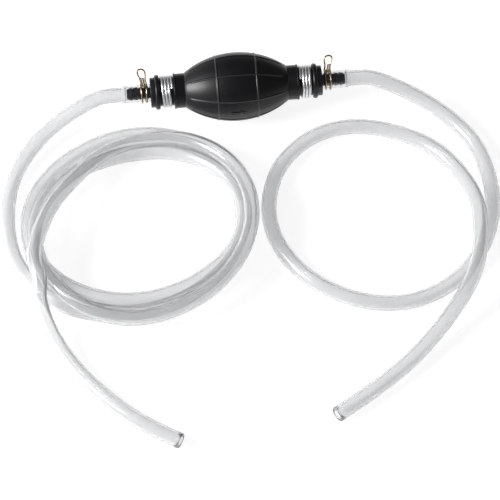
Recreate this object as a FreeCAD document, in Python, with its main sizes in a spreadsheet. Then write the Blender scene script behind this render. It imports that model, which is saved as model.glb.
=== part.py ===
"""Siphon bulb pump: a rubber squeeze bulb between two check valves, each with a clear hose.

Frame: millimetres. +X runs along the bulb from the inlet to the outlet, +Z is up, and the
origin is on the floor under the middle of the bulb. Liquid comes in from -X and leaves at +X.
"""

import FreeCAD
import Part
import Sketcher

import math
import os

# ---------------------------------------------------------------- sizes

SIZES = {
    # rubber bulb, measured from its middle plane
    "belly_radius": 25.0,
    "belly_half_length": 37.5,
    "bulb_wall": 3.0,
    "collar_radius": 12.6,
    "collar_length": 8.0,
    "collar_lip_height": 0.4,
    "collar_lip_width": 1.1,
    "clamp_seat_radius": 10.3,
    "clamp_seat_length": 10.4,
    "bead_radius": 12.7,
    "bead_length": 3.4,
    "bead_chamfer": 0.9,
    "bead_inner_chamfer": 0.45,
    # raised ribs of the bulb
    "ring_rib_place": 14.4,
    "ring_rib_width": 1.3,
    "ring_rib_draft": 0.26,
    "rib_height": 0.5,
    "rib_width": 1.2,
    "rib_count": 8,
    "rib_end_gap": 2.5,
    "rib_phase": 26.0,
    # flow arrow moulded on the front panel
    "arrow_length": 12.4,
    "arrow_head_length": 5.0,
    "arrow_head_width": 5.0,
    "arrow_shaft_width": 1.8,
    "arrow_height": 0.5,
    # end fittings
    "spigot_radius": 8.0,
    "spigot_length": 18.0,
    "spigot_setback": 1.2,
    "chamber_radius": 6.2,
    "chamber_depth": 13.8,
    "plenum_radius": 5.0,
    "plenum_length": 4.0,
    "flange_radius": 11.0,
    "flange_thickness": 3.3,
    "barb_length": 17.2,
    "barb_root_radius": 4.1,
    "barb_crest_radius": 4.9,
    "barb_first_tooth": 1.6,
    "barb_tooth_pitch": 3.9,
    "barb_tip_radius": 3.75,
    "barb_bore_radius": 2.75,
    # check valves, measured along the flow from the seat's upstream face
    "seat_thickness": 2.0,
    "seat_hole_radius": 3.0,
    "seat_lip_width": 0.8,
    "seat_lip_height": 0.3,
    "seat_lip_draft": 0.2,
    "seat_gap": 0.02,
    "seal_thickness": 0.9,
    "seal_radius": 4.4,
    "disc_thickness": 1.2,
    "disc_radius": 4.6,
    "boss_radius": 1.4,
    "stem_radius": 1.2,
    "stem_clearance": 0.05,
    "stem_overrun": 0.5,
    "valve_travel": 1.6,
    "stop_gap": 0.08,
    "cage_length": 9.0,
    "cage_wall": 0.8,
    "cage_floor": 1.5,
    "cage_hub_radius": 2.1,
    "cage_port_radius": 1.3,
    "cage_port_circle": 3.75,
    "cage_port_count": 6,
    "spring_wire_radius": 0.25,
    "spring_radius": 3.1,
    "spring_turns": 4.5,
    # wire clamps over the bulb's necks
    "clamp_wire_radius": 1.05,
    "clamp_pitch": 2.3,
    "clamp_end_gap": 0.125,
    # spring clips over the hose ends
    "clip_wire_radius": 0.6,
    "clip_clearance": 0.12,
    "clip_place": 4.6,
    "clip_inner_lane": 0.75,
    "clip_outer_lane": 2.15,
    "clip_ear_height": 10.2,
    "clip_ear_half_width": 2.7,
    "clip_ear_lean": 1.6,
    "clip_ear_angle": 135.0,
    "clip_ear_spread": 34.0,
    # clear hose
    "hose_radius": 5.5,
    "hose_bore_radius": 4.0,
    "hose_end_length": 21.5,
    "hose_end_taper": 3.5,
    "hose_straight_run": 40.4,
    # stored coil of the inlet hose
    "coil_outer_radius": 85.0,
    "coil_inner_radius": 59.0,
    "coil_height": 22.0,
    "coil_corner": 6.0,
    "coil_centre_across": -76.5,
    "coil_centre_back": -102.0,
}

# Centre lines of the free hoses, as the corners (X, Y, Z) after the straight run off the flange.
OUTLET_ROUTE = [
    (145, -17, 9),
    (178, -65, 5.5),
    (175, -124, 5.5),
    (143, -174, 5.5),
    (88, -190, 5.5),
    (36, -166, 5.5),
    (13, -112, 5.5),
    (25, -54, 5.5),
    (78, -27, 5.5),
    (134, -46, 5.5),
    (167, -98, 9),
    (167, -139, 19.5),
    (152, -182, 19.5),
    (124, -216, 9),
    (85, -248, 5.5),
    (45, -272, 5.5),
]
INLET_LEAD_ROUTE = [
    (-140, -16, 9),
    (-168, -57, 5.5),
    (-175, -103, 5.5),
    (-162, -140, 5.5),
    (-140, -164, 5.5),
    (-117, -178, 5.5),
]
INLET_TAIL_ROUTE = [
    (-155.5, -114, 24),
    (-155, -140, 24),
    (-151, -166, 19.5),
    (-138, -203, 7),
    (-116, -241, 5.5),
    (-90, -266, 5.5),
    (-62.5, -283, 5.5),
]

ARC_SHARE = 0.45
WIRE_ARC_SHARE = 0.49
CLIP_STEP = 30
FREE_END_SHARE = 0.75
EAR_SHOULDER_SHARE = 0.6
EAR_TOP_WIDTH_SHARE = 0.7
EXACT = 1e-7


class Size:
    """A number that keeps the spreadsheet expression it was worked out from."""

    def __init__(self, value, text):
        self.value = value
        self.text = text

    def __add__(self, other):
        other = as_size(other)
        return Size(self.value + other.value, f"({self.text} + {other.text})")

    def __sub__(self, other):
        other = as_size(other)
        return Size(self.value - other.value, f"({self.text} - {other.text})")

    def __mul__(self, other):
        other = as_size(other)
        return Size(self.value * other.value, f"({self.text} * {other.text})")

    def __truediv__(self, other):
        other = as_size(other)
        return Size(self.value / other.value, f"({self.text} / {other.text})")


def as_size(number):
    return number if isinstance(number, Size) else Size(float(number), repr(float(number)))


def root(size):
    return Size(math.sqrt(size.value), f"sqrt({size.text})")


doc = FreeCAD.newDocument("siphon_bulb_pump")
sheet = doc.addObject("Spreadsheet::Sheet", "Sizes")
for row, (alias, value) in enumerate(SIZES.items(), start=1):
    sheet.set(f"A{row}", alias)
    sheet.set(f"B{row}", str(value))
    sheet.setAlias(f"B{row}", alias)
doc.recompute()


def size(alias):
    return Size(float(getattr(sheet, alias)), f"Sizes.{alias}")


# ---------------------------------------------------------------- places shared by pieces

# The bulb's belly is one arc from its middle plane to the collar, centred on that plane.
belly_drop = size("belly_radius") - size("collar_radius")
belly_half = size("belly_half_length")
belly_arc = (belly_half * belly_half + belly_drop * belly_drop) / (belly_drop * 2)

# Stations along a half of the pump, from the bulb's middle outwards.
collar_end = belly_half + size("collar_length")
seat_end = collar_end + size("clamp_seat_length")
bead_end = seat_end + size("bead_length")
flange_end = bead_end + size("flange_thickness")
barb_end = flange_end + size("barb_length")
spigot_start = bead_end - size("spigot_length")
chamber_end = spigot_start + size("chamber_depth")
hose_end = flange_end + size("hose_end_length")
straight_end = flange_end + size("hose_straight_run")
AXIS_HEIGHT = size("belly_radius").value

# Stations along a valve, from the upstream face of its seat downstream.
lip_face = size("seat_thickness") + size("seat_lip_height")
seal_face = lip_face + size("seat_gap")
disc_face = seal_face + size("seal_thickness")
disc_back = disc_face + size("disc_thickness")
hub_face = disc_back + size("valve_travel") + size("stop_gap")
cage_end = size("seat_thickness") + size("cage_length")
cage_floor_face = cage_end - size("cage_floor")
stem_end = cage_end + size("stem_overrun")
port_cut = cage_end * 2 + size("stem_overrun")


# ---------------------------------------------------------------- drawing helpers


def new_body(name):
    body = doc.addObject("PartDesign::Body", name)
    body.Label = name
    return body


def new_sketch(body, name, plane="XZ_Plane"):
    """A sketch on one of the body's own origin planes."""
    sketch = body.newObject("Sketcher::SketchObject", f"{body.Name}_{name}")
    origin_plane = [part for part in body.Origin.OriginFeatures if part.Role == plane][0]
    sketch.AttachmentSupport = [(origin_plane, "")]
    sketch.MapMode = "FlatFace"
    return sketch


def flat(across, up):
    return FreeCAD.Vector(as_size(across).value, as_size(up).value, 0)


def tie_coordinate(sketch, kind, axis, curve, end, place):
    """Hold one coordinate of a curve's end at a size, or on the axis where it is nought."""
    place = as_size(place)
    if abs(place.value) < EXACT:
        sketch.addConstraint(Sketcher.Constraint("PointOnObject", curve, end, axis))
        return
    row = sketch.addConstraint(Sketcher.Constraint(kind, -1, 1, curve, end, place.value))
    sketch.setExpression(f"Constraints[{row}]", place.text)


def tie_point(sketch, curve, end, across, up):
    tie_coordinate(sketch, "DistanceX", -2, curve, end, across)
    tie_coordinate(sketch, "DistanceY", -1, curve, end, up)


def draw_outline(sketch, corners):
    """A closed outline of straight lines through the corners, every corner tied to sizes."""
    count = len(corners)
    first = sketch.GeometryCount
    for index, corner in enumerate(corners):
        sketch.addGeometry(Part.LineSegment(flat(*corner), flat(*corners[(index + 1) % count])))
    for index, corner in enumerate(corners):
        following = first + (index + 1) % count
        sketch.addConstraint(Sketcher.Constraint("Coincident", first + index, 2, following, 1))
        tie_point(sketch, first + index, 1, *corner)


def draw_circle(sketch, across, up, radius):
    circle = sketch.addGeometry(Part.Circle(flat(across, up), FreeCAD.Vector(0, 0, 1), radius.value))
    tie_point(sketch, circle, 3, across, up)
    row = sketch.addConstraint(Sketcher.Constraint("Radius", circle, radius.value))
    sketch.setExpression(f"Constraints[{row}]", radius.text)
    return circle


def revolve(body, sketch, name):
    """Turn an outline round the body's own X axis."""
    feature = body.newObject("PartDesign::Revolution", f"{body.Name}_{name}")
    feature.Profile = sketch
    feature.ReferenceAxis = (sketch, ["H_Axis"])
    feature.Angle = 360
    sketch.Visibility = False
    return feature


def turned_body(name, corners):
    """A piece turned on a lathe: one outline round the X axis."""
    body = new_body(name)
    sketch = new_sketch(body, "outline")
    draw_outline(sketch, corners)
    revolve(body, sketch, "turning")
    return body


def polar_pattern(body, feature, axis_sketch, name, count):
    pattern = body.newObject("PartDesign::PolarPattern", f"{body.Name}_{name}")
    pattern.Originals = [feature]
    pattern.Axis = (axis_sketch, ["H_Axis"])
    pattern.Angle = 360
    pattern.setExpression("Occurrences", count.text)
    body.Tip = pattern
    return pattern


def half_turned(outwards):
    """Rotation of a piece drawn pointing to +X so that it points to outwards * X."""
    return FreeCAD.Rotation(FreeCAD.Vector(0, 0, 1), 0 if outwards > 0 else 180)


def place_on_axis(body, outwards):
    """Put a piece that is drawn from the bulb's middle on the pump's axis, at one end."""
    body.Placement = FreeCAD.Placement(FreeCAD.Vector(0, 0, AXIS_HEIGHT), half_turned(outwards))


def rounded_path(corners, share, skipped=0.0):
    """Straight runs joined by tangent arcs, from skipped along the first run onwards.

    Returns the wire and the arcs' radii.
    """
    points = [FreeCAD.Vector(*corner) for corner in corners]
    edges = []
    radii = []
    here = points[0] + (points[1] - points[0]).normalize() * skipped
    for before, corner, after in zip(points, points[1:], points[2:]):
        back = (before - corner).normalize()
        ahead = (after - corner).normalize()
        half_turn = (math.pi - back.getAngle(ahead)) / 2
        setback = share * min(before.distanceToPoint(corner), after.distanceToPoint(corner))
        radius = setback / math.tan(half_turn)
        start = corner + back * setback
        end = corner + ahead * setback
        to_centre = (back + ahead).normalize()
        middle = corner + to_centre * (radius / math.cos(half_turn) - radius)
        edges.append(Part.LineSegment(here, start).toShape())
        edges.append(Part.Arc(start, middle, end).toShape())
        radii.append(radius)
        here = end
    edges.append(Part.LineSegment(here, points[-1]).toShape())
    return Part.Wire(edges), radii


def round_bar(path, radius):
    """A solid of circular section along a path."""
    start = path.Edges[0]
    heading = start.tangentAt(start.FirstParameter)
    section = Part.Wire(Part.makeCircle(radius, start.valueAt(start.FirstParameter), heading))
    return path.makePipeShell([section], True, False)


def new_feature(name, shape):
    feature = doc.addObject("Part::Feature", name)
    feature.Label = name
    feature.Shape = shape
    return feature


# ---------------------------------------------------------------- rubber bulb


def make_bulb():
    """One hollow moulding: belly, two stepped necks, ring ribs, lengthwise ribs and arrow."""
    body = new_body("bulb")
    sketch = new_sketch(body, "half_outline")
    neck_bore = size("spigot_radius")
    bore_start = spigot_start - size("spigot_setback")
    inner_half = belly_half - size("bulb_wall") / 2
    centre = flat(0, belly_drop - belly_arc + size("collar_radius"))
    outer_start = flat(0, size("belly_radius"))
    outer_end = flat(belly_half, size("collar_radius"))
    inner_radius = belly_arc.value - size("bulb_wall").value
    inner_drop = math.sqrt(inner_radius**2 - inner_half.value**2)
    inner_start = flat(0, size("belly_radius") - size("bulb_wall"))
    inner_end = FreeCAD.Vector(inner_half.value, centre.y + inner_drop, 0)

    def arc_between(radius, start, end):
        circle = Part.Circle(centre, FreeCAD.Vector(0, 0, 1), radius)
        turn = [math.atan2(point.y - centre.y, point.x) for point in (start, end)]
        return Part.ArcOfCircle(circle, turn[1], turn[0])

    outer = sketch.addGeometry(arc_between(belly_arc.value, outer_start, outer_end))
    lip_start = collar_end - size("collar_lip_width")
    lip_radius = size("collar_radius") + size("collar_lip_height")
    steps = [
        (belly_half, size("collar_radius")),
        (lip_start, size("collar_radius")),
        (lip_start, lip_radius),
        (collar_end, lip_radius),
        (collar_end, size("clamp_seat_radius")),
        (seat_end, size("clamp_seat_radius")),
        (seat_end, size("bead_radius") - size("bead_inner_chamfer")),
        (seat_end + size("bead_chamfer"), size("bead_radius")),
        (bead_end - size("bead_chamfer"), size("bead_radius")),
        (bead_end, size("bead_radius") - size("bead_chamfer")),
        (bead_end, neck_bore),
        (bore_start, neck_bore),
    ]
    first = sketch.GeometryCount
    for here, there in zip(steps, steps[1:]):
        sketch.addGeometry(Part.LineSegment(flat(*here), flat(*there)))
    funnel = sketch.addGeometry(Part.LineSegment(flat(*steps[-1]), inner_end))
    inner = sketch.addGeometry(arc_between(inner_radius, inner_start, inner_end))
    wall = sketch.addGeometry(Part.LineSegment(inner_start, outer_start))
    # An arc runs anticlockwise, so its end 1 is the collar's and its end 2 the middle plane's.
    sketch.addConstraint(Sketcher.Constraint("Coincident", outer, 1, first, 1))
    for line in range(first, funnel):
        sketch.addConstraint(Sketcher.Constraint("Coincident", line, 2, line + 1, 1))
    sketch.addConstraint(Sketcher.Constraint("Coincident", funnel, 2, inner, 1))
    sketch.addConstraint(Sketcher.Constraint("Coincident", inner, 2, wall, 1))
    sketch.addConstraint(Sketcher.Constraint("Coincident", wall, 2, outer, 2))
    sketch.addConstraint(Sketcher.Constraint("Coincident", inner, 3, outer, 3))
    sketch.addConstraint(Sketcher.Constraint("PointOnObject", outer, 3, -2))
    tie_point(sketch, wall, 1, 0, size("belly_radius") - size("bulb_wall"))
    tie_point(sketch, wall, 2, 0, size("belly_radius"))
    for line, place in zip(range(first, funnel + 1), steps):
        tie_point(sketch, line, 1, *place)
    tie_coordinate(sketch, "DistanceX", -2, funnel, 2, inner_half)
    revolve(body, sketch, "half")

    # ring rib, one on each half
    rib_foot = size("belly_radius") - size("bulb_wall")
    rib_start = size("ring_rib_place") - size("ring_rib_width") / 2
    rib_end = size("ring_rib_place") + size("ring_rib_width") / 2
    rib_reach = root(belly_arc * belly_arc - size("ring_rib_place") * size("ring_rib_place"))
    rib_top = rib_reach - belly_arc + size("belly_radius") + size("rib_height")
    ring_sketch = new_sketch(body, "ring_outline")
    ring_corners = [
        (rib_start, rib_foot),
        (rib_end, rib_foot),
        (rib_end - size("ring_rib_draft"), rib_top),
        (rib_start + size("ring_rib_draft"), rib_top),
    ]
    draw_outline(ring_sketch, ring_corners)
    ring = revolve(body, ring_sketch, "ring")
    mirrored = body.newObject("PartDesign::Mirrored", "bulb_halves")
    half = doc.getObject("bulb_half")
    mirrored.Originals = [half, ring]
    mirrored.MirrorPlane = (ring_sketch, ["V_Axis"])
    body.Tip = mirrored

    # lengthwise ribs: one band over the belly, then a ring of them
    rib_sketch = new_sketch(body, "rib_outline", "XY_Plane")
    reach = belly_half - size("rib_end_gap")
    centre_depth = belly_arc - size("belly_radius")
    # The band's arcs share the belly's centre, which lies below the axis.
    rib_centre = FreeCAD.Vector(0, -centre_depth.value, 0)
    bands = []
    for radius in (belly_arc + size("rib_height"), belly_arc - size("bulb_wall") / 2):
        lean = math.acos(reach.value / radius.value)
        circle = Part.Circle(rib_centre, FreeCAD.Vector(0, 0, 1), radius.value)
        arc = rib_sketch.addGeometry(Part.ArcOfCircle(circle, lean, math.pi - lean))
        row = rib_sketch.addConstraint(Sketcher.Constraint("Radius", arc, radius.value))
        rib_sketch.setExpression(f"Constraints[{row}]", radius.text)
        bands.append(arc)
    top, bottom = bands
    rib_sketch.addConstraint(Sketcher.Constraint("PointOnObject", top, 3, -2))
    row = rib_sketch.addConstraint(
        Sketcher.Constraint("DistanceY", top, 3, -1, 1, centre_depth.value)
    )
    rib_sketch.setExpression(f"Constraints[{row}]", centre_depth.text)
    rib_sketch.addConstraint(Sketcher.Constraint("Coincident", top, 3, bottom, 3))
    for end, left in ((1, False), (2, True)):
        corner = [rib_sketch.getPoint(arc, end) for arc in bands]
        line = rib_sketch.addGeometry(Part.LineSegment(*corner))
        rib_sketch.addConstraint(Sketcher.Constraint("Coincident", line, 1, top, end))
        rib_sketch.addConstraint(Sketcher.Constraint("Coincident", line, 2, bottom, end))
        rib_sketch.addConstraint(Sketcher.Constraint("Vertical", line))
        order = (line, 1, -1, 1) if left else (-1, 1, line, 1)
        row = rib_sketch.addConstraint(Sketcher.Constraint("DistanceX", *order, reach.value))
        rib_sketch.setExpression(f"Constraints[{row}]", reach.text)
    rib = body.newObject("PartDesign::Pad", "bulb_rib")
    rib.Profile = rib_sketch
    rib.Midplane = True
    rib.setExpression("Length", size("rib_width").text)
    polar_pattern(body, rib, rib_sketch, "ribs", size("rib_count"))

    # flow arrow, on the panel below the front rib and pointing to the outlet
    arrow_sketch = new_sketch(body, "arrow_outline")
    panel = FreeCAD.Rotation(FreeCAD.Vector(1, 0, 0), 180 / size("rib_count").value)
    arrow_foot = size("belly_radius").value - size("bulb_wall").value / 2
    arrow_sketch.AttachmentOffset = FreeCAD.Placement(
        panel.multVec(FreeCAD.Vector(0, 0, arrow_foot)), panel
    )
    tip = size("arrow_length") / 2
    neck = tip - size("arrow_head_length")
    head = size("arrow_head_width") / 2
    shaft = size("arrow_shaft_width") / 2
    minus = Size(-1.0, "-1.0")
    draw_outline(
        arrow_sketch,
        [
            (tip, 0),
            (neck, head),
            (neck, shaft),
            (tip * minus, shaft),
            (tip * minus, shaft * minus),
            (neck, shaft * minus),
            (neck, head * minus),
        ],
    )
    arrow = body.newObject("PartDesign::Pad", "bulb_arrow")
    arrow.Profile = arrow_sketch
    arrow.setExpression("Length", (size("bulb_wall") / 2 + size("arrow_height")).text)
    body.Tip = arrow
    phase = FreeCAD.Rotation(FreeCAD.Vector(1, 0, 0), -size("rib_phase").value)
    body.Placement = FreeCAD.Placement(FreeCAD.Vector(0, 0, AXIS_HEIGHT), phase)
    return body


# ---------------------------------------------------------------- fittings, clamps and hose ends


def make_fitting(end, outwards):
    """Moulded end fitting: spigot with the valve chamber, flange, and a barb for the hose."""
    corners = [
        (spigot_start, size("chamber_radius")),
        (spigot_start, size("spigot_radius")),
        (bead_end, size("spigot_radius")),
        (bead_end, size("flange_radius")),
        (flange_end, size("flange_radius")),
        (flange_end, size("barb_root_radius")),
    ]
    tooth = flange_end + size("barb_first_tooth")
    while (tooth + size("barb_tooth_pitch")).value <= barb_end.value + EXACT:
        corners.append((tooth, size("barb_root_radius")))
        corners.append((tooth, size("barb_crest_radius")))
        tooth = tooth + size("barb_tooth_pitch")
    corners += [
        (barb_end, size("barb_tip_radius")),
        (barb_end, size("barb_bore_radius")),
        (chamber_end + size("plenum_length"), size("barb_bore_radius")),
        (chamber_end, size("plenum_radius")),
        (chamber_end, size("chamber_radius")),
    ]
    place_on_axis(turned_body(f"{end}_fitting", corners), outwards)


def make_wire_clamp(end, outwards):
    """Close-wound wire that squeezes the bulb's neck on to the spigot."""
    body = new_body(f"{end}_wire_clamp")
    sketch = new_sketch(body, "wire_section")
    wire = size("clamp_wire_radius")
    first_turn = collar_end + size("clamp_end_gap") + wire
    last_turn = seat_end - size("clamp_end_gap") - wire
    draw_circle(sketch, first_turn, size("clamp_seat_radius") + wire, wire)
    turns = (last_turn - first_turn) / size("clamp_pitch")
    add_helix(body, sketch, size("clamp_pitch"), turns, outwards < 0)
    place_on_axis(body, outwards)


def add_helix(body, sketch, pitch, turns, left_handed):
    """Wind the sketched wire section round the body's X axis."""
    helix = body.newObject("PartDesign::AdditiveHelix", f"{body.Name}_winding")
    helix.Profile = sketch
    helix.ReferenceAxis = (sketch, ["H_Axis"])
    helix.Mode = "pitch-turns-angle"
    helix.LeftHanded = left_handed
    helix.setExpression("Pitch", pitch.text)
    helix.setExpression("Turns", turns.text)
    sketch.Visibility = False
    return helix


def make_hose_end(end, outwards):
    """The stretch of hose that is swollen by the barb, down to the hose's own size."""
    swell = size("barb_crest_radius") - size("hose_bore_radius")
    swollen = size("hose_radius") + swell
    taper_start = hose_end - size("hose_end_taper")
    corners = [
        (flange_end, size("barb_crest_radius")),
        (flange_end, swollen),
        (taper_start, swollen),
        (hose_end, size("hose_radius")),
        (hose_end, size("hose_bore_radius")),
        (taper_start, size("barb_crest_radius")),
    ]
    place_on_axis(turned_body(f"{end}_hose_end", corners), outwards)


def make_hose_clip(end, outwards):
    """Double-wire spring clip: one bent wire with a finger bow and two free ends.

    Both wires go more than once round the hose, so pinching the bow and the free ends together
    opens the clip, and the free ends pass between the legs of the bow.
    """
    wire = size("clip_wire_radius").value
    swell = size("barb_crest_radius").value - size("hose_bore_radius").value
    ring = size("hose_radius").value + swell + size("clip_clearance").value + wire
    middle = (flange_end + size("clip_place")).value
    inner = size("clip_inner_lane").value
    outer = size("clip_outer_lane").value
    bow = size("clip_ear_angle").value
    free = bow - size("clip_ear_spread").value
    height = size("clip_ear_height").value
    half_width = size("clip_ear_half_width").value
    lean = size("clip_ear_lean").value

    def place(lane, angle, reach):
        turn = math.radians(angle)
        return (lane, -reach * math.cos(turn), reach * math.sin(turn))

    # The winding is the tangent polygon of its circle, from the free end round to the bow.
    covered = 360 + bow - free
    steps = round(covered / CLIP_STEP)
    step = covered / steps
    corner_reach = ring / math.cos(math.radians(step / 2))
    one_side = [place(inner, free, ring + FREE_END_SHARE * height), place(inner, free, ring)]
    for index in range(steps):
        share = (index + 0.5) / steps
        lane = inner + (outer - inner) * share
        one_side.append(place(lane, free + covered * share, corner_reach))
    one_side += [
        place(outer, bow, ring),
        place(half_width, bow, ring + EAR_SHOULDER_SHARE * height),
        place(EAR_TOP_WIDTH_SHARE * half_width, bow, ring + height),
    ]
    other_side = [(-across, back, up) for across, back, up in reversed(one_side)]
    # What stands up from the winding leans away from the flange.
    corners = []
    for across, back, up in one_side + other_side:
        raised = max(math.hypot(back, up) - corner_reach, 0) / height
        corners.append((outwards * (across + raised * lean), back, up))
    path, radii = rounded_path(corners, WIRE_ARC_SHARE)
    print(f"{end}_hose_clip tightest bend {min(radii):.2f}, wire radius {wire}")
    clip = new_feature(f"{end}_hose_clip", round_bar(path, wire))
    clip.Placement = FreeCAD.Placement(
        FreeCAD.Vector(outwards * middle, 0, AXIS_HEIGHT), FreeCAD.Rotation()
    )


# ---------------------------------------------------------------- check valves


def flow_placement(end, outwards):
    """Seat a valve against its chamber, with its own +X along the flow, which is always +X."""
    upstream = chamber_end.value * outwards
    if outwards > 0:
        upstream = chamber_end.value - cage_end.value
    return FreeCAD.Placement(FreeCAD.Vector(upstream, 0, AXIS_HEIGHT), FreeCAD.Rotation())


def make_valve(end, outwards):
    """Seat, sealing washer, poppet, spring and cage of one check valve."""
    lip_end = size("seat_hole_radius") + size("seat_lip_width")
    seat = turned_body(
        f"{end}_valve_seat",
        [
            (0, size("seat_hole_radius")),
            (0, size("chamber_radius")),
            (size("seat_thickness"), size("chamber_radius")),
            (size("seat_thickness"), lip_end),
            (lip_face, lip_end - size("seat_lip_draft")),
            (lip_face, size("seat_hole_radius")),
        ],
    )
    washer = turned_body(
        f"{end}_poppet_seal",
        [
            (seal_face, size("boss_radius")),
            (seal_face, size("seal_radius")),
            (disc_face, size("seal_radius")),
            (disc_face, size("boss_radius")),
        ],
    )
    poppet = turned_body(
        f"{end}_poppet",
        [
            (seal_face, 0),
            (seal_face, size("boss_radius")),
            (disc_face, size("boss_radius")),
            (disc_face, size("disc_radius")),
            (disc_back, size("disc_radius")),
            (disc_back, size("stem_radius")),
            (stem_end, size("stem_radius")),
            (stem_end, 0),
        ],
    )
    sleeve_bore = size("chamber_radius") - size("cage_wall")
    guide_bore = size("stem_radius") + size("stem_clearance")
    cage = turned_body(
        f"{end}_valve_cage",
        [
            (size("seat_thickness"), sleeve_bore),
            (size("seat_thickness"), size("chamber_radius")),
            (cage_end, size("chamber_radius")),
            (cage_end, guide_bore),
            (hub_face, guide_bore),
            (hub_face, size("cage_hub_radius")),
            (cage_floor_face, size("cage_hub_radius")),
            (cage_floor_face, sleeve_bore),
        ],
    )
    port_sketch = new_sketch(cage, "port_outline", "YZ_Plane")
    draw_circle(port_sketch, size("cage_port_circle"), 0, size("cage_port_radius"))
    port = cage.newObject("PartDesign::Pocket", f"{cage.Name}_port")
    port.Profile = port_sketch
    port.Type = "Length"
    port.Midplane = True
    port.setExpression("Length", port_cut.text)
    polar_pattern(cage, port, doc.getObject(f"{cage.Name}_outline"), "ports", size("cage_port_count"))

    spring = new_body(f"{end}_valve_spring")
    spring_sketch = new_sketch(spring, "wire_section")
    wire = size("spring_wire_radius")
    draw_circle(spring_sketch, disc_back + wire, size("spring_radius"), wire)
    pitch = (cage_floor_face - disc_back - wire * 2) / size("spring_turns")
    add_helix(spring, spring_sketch, pitch, size("spring_turns"), False)

    for piece in (seat, washer, poppet, cage, spring):
        piece.Placement = flow_placement(end, outwards)


# ---------------------------------------------------------------- free hoses


def off_the_flange(outwards, route):
    """A route that leaves a fitting's flange: its first run lies straight along the pump's axis."""
    start = (outwards * flange_end.value, 0, AXIS_HEIGHT)
    straight = (outwards * straight_end.value, 0, AXIS_HEIGHT)
    return [start, straight] + route


def make_hose(name, route, skipped=0.0):
    """A hollow hose along its route. Its hose end stands for the stretch that is skipped."""
    path, radii = rounded_path(route, ARC_SHARE, skipped)
    bore = size("hose_bore_radius").value
    outside = round_bar(path, size("hose_radius").value)
    inside = round_bar(path, bore)
    hose = outside.cut(inside)
    section = math.pi * (size("hose_radius").value ** 2 - bore**2)
    print(f"{name} length {path.Length:.0f}, radii", [round(radius) for radius in radii])
    print(f"{name} volume {hose.Volume:.0f}, section x length {section * path.Length:.0f}")
    new_feature(name, hose)


def make_coil():
    """Outer shape of the three stacked turns in which the inlet hose lies."""
    body = new_body("inlet_hose_coil")
    sketch = new_sketch(body, "outline")
    inner = size("coil_inner_radius")
    outer = size("coil_outer_radius")
    corner = size("coil_corner")
    top = size("coil_height")
    corners = [
        (inner + corner, 0),
        (outer - corner, 0),
        (outer, corner),
        (outer, top - corner),
        (outer - corner, top),
        (inner + corner, top),
        (inner, top - corner),
        (inner, corner),
    ]
    draw_outline(sketch, corners)
    turning = revolve(body, sketch, "turning")
    turning.ReferenceAxis = (sketch, ["V_Axis"])
    body.Placement = FreeCAD.Placement(
        FreeCAD.Vector(size("coil_centre_across").value, size("coil_centre_back").value, 0),
        FreeCAD.Rotation(),
    )


# ---------------------------------------------------------------- build, check and write

make_bulb()
for end_name, direction in (("inlet", -1), ("outlet", 1)):
    make_fitting(end_name, direction)
    make_valve(end_name, direction)
    make_wire_clamp(end_name, direction)
    make_hose_end(end_name, direction)
    make_hose_clip(end_name, direction)
make_hose("outlet_hose", off_the_flange(1, OUTLET_ROUTE), size("hose_end_length").value)
make_hose("inlet_hose_lead", off_the_flange(-1, INLET_LEAD_ROUTE), size("hose_end_length").value)
make_hose("inlet_hose_tail", INLET_TAIL_ROUTE)
make_coil()
doc.recompute()

for item in doc.Objects:
    if "Invalid" in item.State or "Error" in item.State:
        raise RuntimeError(f"{item.Name} failed: {item.State}")

pieces = [item for item in doc.Objects if item.TypeId == "PartDesign::Body"]
pieces += [item for item in doc.Objects if item.TypeId == "Part::Feature"]
for piece in pieces:
    if piece.Shape.isNull() or not piece.Shape.isValid():
        raise RuntimeError(f"{piece.Label} has no valid shape")
    if len(piece.Shape.Solids) != 1:
        raise RuntimeError(f"{piece.Label} is {len(piece.Shape.Solids)} solids")

os.makedirs("parts", exist_ok=True)
for piece in pieces:
    piece.Shape.exportStep(f"parts/{piece.Label}.step")
    print(f"{piece.Label}: {piece.Shape.Volume:.1f} mm3")
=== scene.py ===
# %% [markdown]
# # Siphon bulb pump
# A hand siphon pump moves liquid through clear hose. A ribbed rubber bulb sits between two one-way
# valves: squeezing it pushes liquid out at one end, and letting go draws more in at the other. The
# measured frame of the pump is already there, so this lesson adds the finished surfaces round it.
#
# The frame comes first. Its pieces give every place and size that follows, and its box is kept to
# compare with the finished pump at the end.

import math

import bmesh
import bpy
from mathutils import Matrix, Vector


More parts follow.
